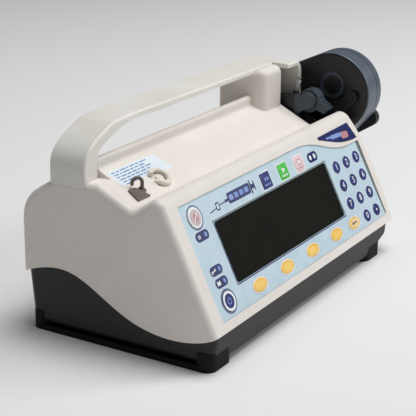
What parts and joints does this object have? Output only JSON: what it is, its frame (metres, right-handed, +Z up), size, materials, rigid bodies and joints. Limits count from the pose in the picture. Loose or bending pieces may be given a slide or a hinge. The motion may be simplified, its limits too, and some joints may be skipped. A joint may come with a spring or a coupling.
{
  "type": "syringe infusion pump",
  "caption": "Bench-top syringe infusion pump with a sloping keypad face, carry handle, barrel clamp and sliding plunger driver.",
  "frame": {"origin": "middle of the footprint of the whole pump on the table, driver fully home", "axes": "+X along the syringe towards the plunger driver, keypad faces -Y, +Z up"},
  "size_m": [0.3116, 0.1479, 0.1465],
  "materials": {
    "case_white": "fine spark texture",
    "base_grey": "fine texture",
    "foot_rubber": "matt",
    "cradle_black": "satin",
    "clamp_grey": "satin",
    "clip_steel": "polished edge",
    "driver_grey": "satin",
    "driver_dark": "satin",
    "panel_blue": "printed polyester film",
    "key_navy": "embossed film",
    "key_yellow": "embossed film",
    "key_green": "embossed film",
    "key_pink": "embossed film",
    "key_white": "embossed film",
    "window_dark": "clear over dark display",
    "board_green": "solder mask",
    "display_metal": "stamped",
    "plate_steel": "bright",
    "shaft_steel": "ground",
    "gear_plastic": "moulded acetal",
    "pinion_brass": "machined",
    "bearing_bronze": "sintered",
    "carriage_black": "moulded",
    "motor_can": "satin",
    "battery_wrap": "shrink sleeve",
    "screw_steel": "zinc plated",
    "hook_dark": "satin",
    "clip_white": "satin",
    "seal_rubber": "matt"
  },
  "bodies": {
    "case": {"top_case": "case_white", "base_case": "base_grey", "rubber_feet": "foot_rubber", "case_screws": "screw_steel", "carry_handle": "case_white", "flange_clip": "clip_steel", "cradle_insert": "cradle_black", "clamp_spring": "shaft_steel", "keypad_backplate": "panel_blue", "keypad_overlay": "panel_blue", "display_window": "window_dark", "display_module": "display_metal", "main_board": "board_green", "drive_frame": "plate_steel", "guide_rod": "shaft_steel", "screw_bearings": "bearing_bronze", "drive_motor": "motor_can", "tube_seal": "seal_rubber", "battery_pack": "battery_wrap", "power_supply_board": "board_green", "power_inlet": "driver_dark", "tubing_hook": "hook_dark", "tubing_clip": "clip_white"},
    "driver": {"drive_carriage": "carriage_black", "drive_tube": "shaft_steel", "driver_head": "driver_grey", "driver_cover": "driver_grey"},
    "clutch": {"clutch_lever": "driver_grey", "release_rod": "shaft_steel"},
    "holder_front": {"plunger_holder_front": "driver_dark"},
    "holder_rear": {"plunger_holder_rear": "driver_dark"},
    "half_nut": {"half_nut": "gear_plastic"},
    "plunger_sensor": {"plunger_sensor_button": "driver_dark"},
    "ear_sensor": {"ear_sensor_button": "driver_dark"},
    "clamp": {"barrel_clamp": "clamp_grey", "clamp_post": "shaft_steel"},
    "screw": {"lead_screw": "shaft_steel", "screw_gear": "gear_plastic"},
    "pinion": {"motor_pinion": "pinion_brass"},
    "bolus_key_cap": {"bolus_key": "key_navy"},
    "key_0_cap": {"key_0": "key_navy"},
    "key_1_cap": {"key_1": "key_navy"},
    "key_2_cap": {"key_2": "key_navy"},
    "key_3_cap": {"key_3": "key_navy"},
    "key_4_cap": {"key_4": "key_navy"},
    "key_5_cap": {"key_5": "key_navy"},
    "key_6_cap": {"key_6": "key_navy"},
    "key_7_cap": {"key_7": "key_navy"},
    "key_8_cap": {"key_8": "key_navy"},
    "key_9_cap": {"key_9": "key_navy"},
    "key_enter_cap": {"key_enter": "key_yellow"},
    "key_point_cap": {"key_point": "key_navy"},
    "mute_key_cap": {"mute_key": "key_white"},
    "power_key_cap": {"power_key": "key_navy"},
    "soft_key_1_cap": {"soft_key_1": "key_yellow"},
    "soft_key_2_cap": {"soft_key_2": "key_yellow"},
    "soft_key_3_cap": {"soft_key_3": "key_yellow"},
    "soft_key_4_cap": {"soft_key_4": "key_yellow"},
    "start_key_cap": {"start_key": "key_green"},
    "stop_key_cap": {"stop_key": "key_pink"}
  },
  "joints": [
    {"name": "driver_slide", "type": "slide", "parent": "case", "child": "driver", "axis": [1, 0, 0], "range_m": [0, 0.125]},
    {"name": "clutch_squeeze", "type": "hinge", "parent": "driver", "child": "clutch", "pos_m": [0.1522, 0.01, 0.072], "axis": [-1, 0, 0], "range_deg": [0, 22], "stiffness_Nm_per_rad": 0.4, "springref_deg": -8.59},
    {"name": "front_holder_open", "type": "hinge", "parent": "driver", "child": "holder_front", "pos_m": [0.1242, -0.0315, 0.114], "axis": [-1, 0, 0], "range_deg": [0, 22]},
    {"name": "rear_holder_open", "type": "hinge", "parent": "driver", "child": "holder_rear", "pos_m": [0.1242, 0.0045, 0.114], "axis": [1, 0, 0], "range_deg": [0, 22]},
    {"name": "half_nut_drop", "type": "slide", "parent": "driver", "child": "half_nut", "axis": [0, 0, -1], "range_m": [0, 0.003]},
    {"name": "plunger_sensor_press", "type": "slide", "parent": "driver", "child": "plunger_sensor", "axis": [1, 0, 0], "range_m": [0, 0.0012], "stiffness_N_per_m": 400, "springref_m": -0.001},
    {"name": "ear_sensor_press", "type": "slide", "parent": "case", "child": "ear_sensor", "axis": [1, 0, 0], "range_m": [0, 0.0012], "stiffness_N_per_m": 400, "springref_m": -0.001},
    {"name": "clamp_lift", "type": "slide", "parent": "case", "child": "clamp", "axis": [0, 0, 1], "range_m": [0, 0.02], "stiffness_N_per_m": 250, "springref_m": -0.012, "deforming": ["clamp_spring"]},
    {"name": "screw_spin", "type": "hinge", "parent": "case", "child": "screw", "pos_m": [-0.1358, 0.01, 0.05], "axis": [1, 0, 0], "continuous": true},
    {"name": "pinion_spin", "type": "hinge", "parent": "case", "child": "pinion", "pos_m": [-0.1358, 0.042, 0.05], "axis": [1, 0, 0], "continuous": true},
    {"name": "bolus_key_press", "type": "slide", "parent": "case", "child": "bolus_key_cap", "axis": [0, 0.8957, -0.4446], "range_m": [0, 0.0004], "stiffness_N_per_m": 1500, "springref_m": -0.0003},
    {"name": "key_0_press", "type": "slide", "parent": "case", "child": "key_0_cap", "axis": [0, 0.8957, -0.4446], "range_m": [0, 0.0004], "stiffness_N_per_m": 1500, "springref_m": -0.0003},
    {"name": "key_1_press", "type": "slide", "parent": "case", "child": "key_1_cap", "axis": [0, 0.8957, -0.4446], "range_m": [0, 0.0004], "stiffness_N_per_m": 1500, "springref_m": -0.0003},
    {"name": "key_2_press", "type": "slide", "parent": "case", "child": "key_2_cap", "axis": [0, 0.8957, -0.4446], "range_m": [0, 0.0004], "stiffness_N_per_m": 1500, "springref_m": -0.0003},
    {"name": "key_3_press", "type": "slide", "parent": "case", "child": "key_3_cap", "axis": [0, 0.8957, -0.4446], "range_m": [0, 0.0004], "stiffness_N_per_m": 1500, "springref_m": -0.0003},
    {"name": "key_4_press", "type": "slide", "parent": "case", "child": "key_4_cap", "axis": [0, 0.8957, -0.4446], "range_m": [0, 0.0004], "stiffness_N_per_m": 1500, "springref_m": -0.0003},
    {"name": "key_5_press", "type": "slide", "parent": "case", "child": "key_5_cap", "axis": [0, 0.8957, -0.4446], "range_m": [0, 0.0004], "stiffness_N_per_m": 1500, "springref_m": -0.0003},
    {"name": "key_6_press", "type": "slide", "parent": "case", "child": "key_6_cap", "axis": [0, 0.8957, -0.4446], "range_m": [0, 0.0004], "stiffness_N_per_m": 1500, "springref_m": -0.0003},
    {"name": "key_7_press", "type": "slide", "parent": "case", "child": "key_7_cap", "axis": [0, 0.8957, -0.4446], "range_m": [0, 0.0004], "stiffness_N_per_m": 1500, "springref_m": -0.0003},
    {"name": "key_8_press", "type": "slide", "parent": "case", "child": "key_8_cap", "axis": [0, 0.8957, -0.4446], "range_m": [0, 0.0004], "stiffness_N_per_m": 1500, "springref_m": -0.0003},
    {"name": "key_9_press", "type": "slide", "parent": "case", "child": "key_9_cap", "axis": [0, 0.8957, -0.4446], "range_m": [0, 0.0004], "stiffness_N_per_m": 1500, "springref_m": -0.0003},
    {"name": "key_enter_press", "type": "slide", "parent": "case", "child": "key_enter_cap", "axis": [0, 0.8957, -0.4446], "range_m": [0, 0.0004], "stiffness_N_per_m": 1500, "springref_m": -0.0003},
    {"name": "key_point_press", "type": "slide", "parent": "case", "child": "key_point_cap", "axis": [0, 0.8957, -0.4446], "range_m": [0, 0.0004], "stiffness_N_per_m": 1500, "springref_m": -0.0003},
    {"name": "mute_key_press", "type": "slide", "parent": "case", "child": "mute_key_cap", "axis": [0, 0.8957, -0.4446], "range_m": [0, 0.0004], "stiffness_N_per_m": 1500, "springref_m": -0.0003},
    {"name": "power_key_press", "type": "slide", "parent": "case", "child": "power_key_cap", "axis": [0, 0.8957, -0.4446], "range_m": [0, 0.0004], "stiffness_N_per_m": 1500, "springref_m": -0.0003},
    {"name": "soft_key_1_press", "type": "slide", "parent": "case", "child": "soft_key_1_cap", "axis": [0, 0.8957, -0.4446], "range_m": [0, 0.0004], "stiffness_N_per_m": 1500, "springref_m": -0.0003},
    {"name": "soft_key_2_press", "type": "slide", "parent": "case", "child": "soft_key_2_cap", "axis": [0, 0.8957, -0.4446], "range_m": [0, 0.0004], "stiffness_N_per_m": 1500, "springref_m": -0.0003},
    {"name": "soft_key_3_press", "type": "slide", "parent": "case", "child": "soft_key_3_cap", "axis": [0, 0.8957, -0.4446], "range_m": [0, 0.0004], "stiffness_N_per_m": 1500, "springref_m": -0.0003},
    {"name": "soft_key_4_press", "type": "slide", "parent": "case", "child": "soft_key_4_cap", "axis": [0, 0.8957, -0.4446], "range_m": [0, 0.0004], "stiffness_N_per_m": 1500, "springref_m": -0.0003},
    {"name": "start_key_press", "type": "slide", "parent": "case", "child": "start_key_cap", "axis": [0, 0.8957, -0.4446], "range_m": [0, 0.0004], "stiffness_N_per_m": 1500, "springref_m": -0.0003},
    {"name": "stop_key_press", "type": "slide", "parent": "case", "child": "stop_key_cap", "axis": [0, 0.8957, -0.4446], "range_m": [0, 0.0004], "stiffness_N_per_m": 1500, "springref_m": -0.0003}
  ],
  "couplings": [
    {"joint": "front_holder_open", "follows": "clutch_squeeze", "ratio": 1},
    {"joint": "rear_holder_open", "follows": "clutch_squeeze", "ratio": 1},
    {"joint": "half_nut_drop", "follows": "clutch_squeeze", "m_per_rad": 0.007553},
    {"joint": "pinion_spin", "follows": "screw_spin", "ratio": -3}
  ]
}
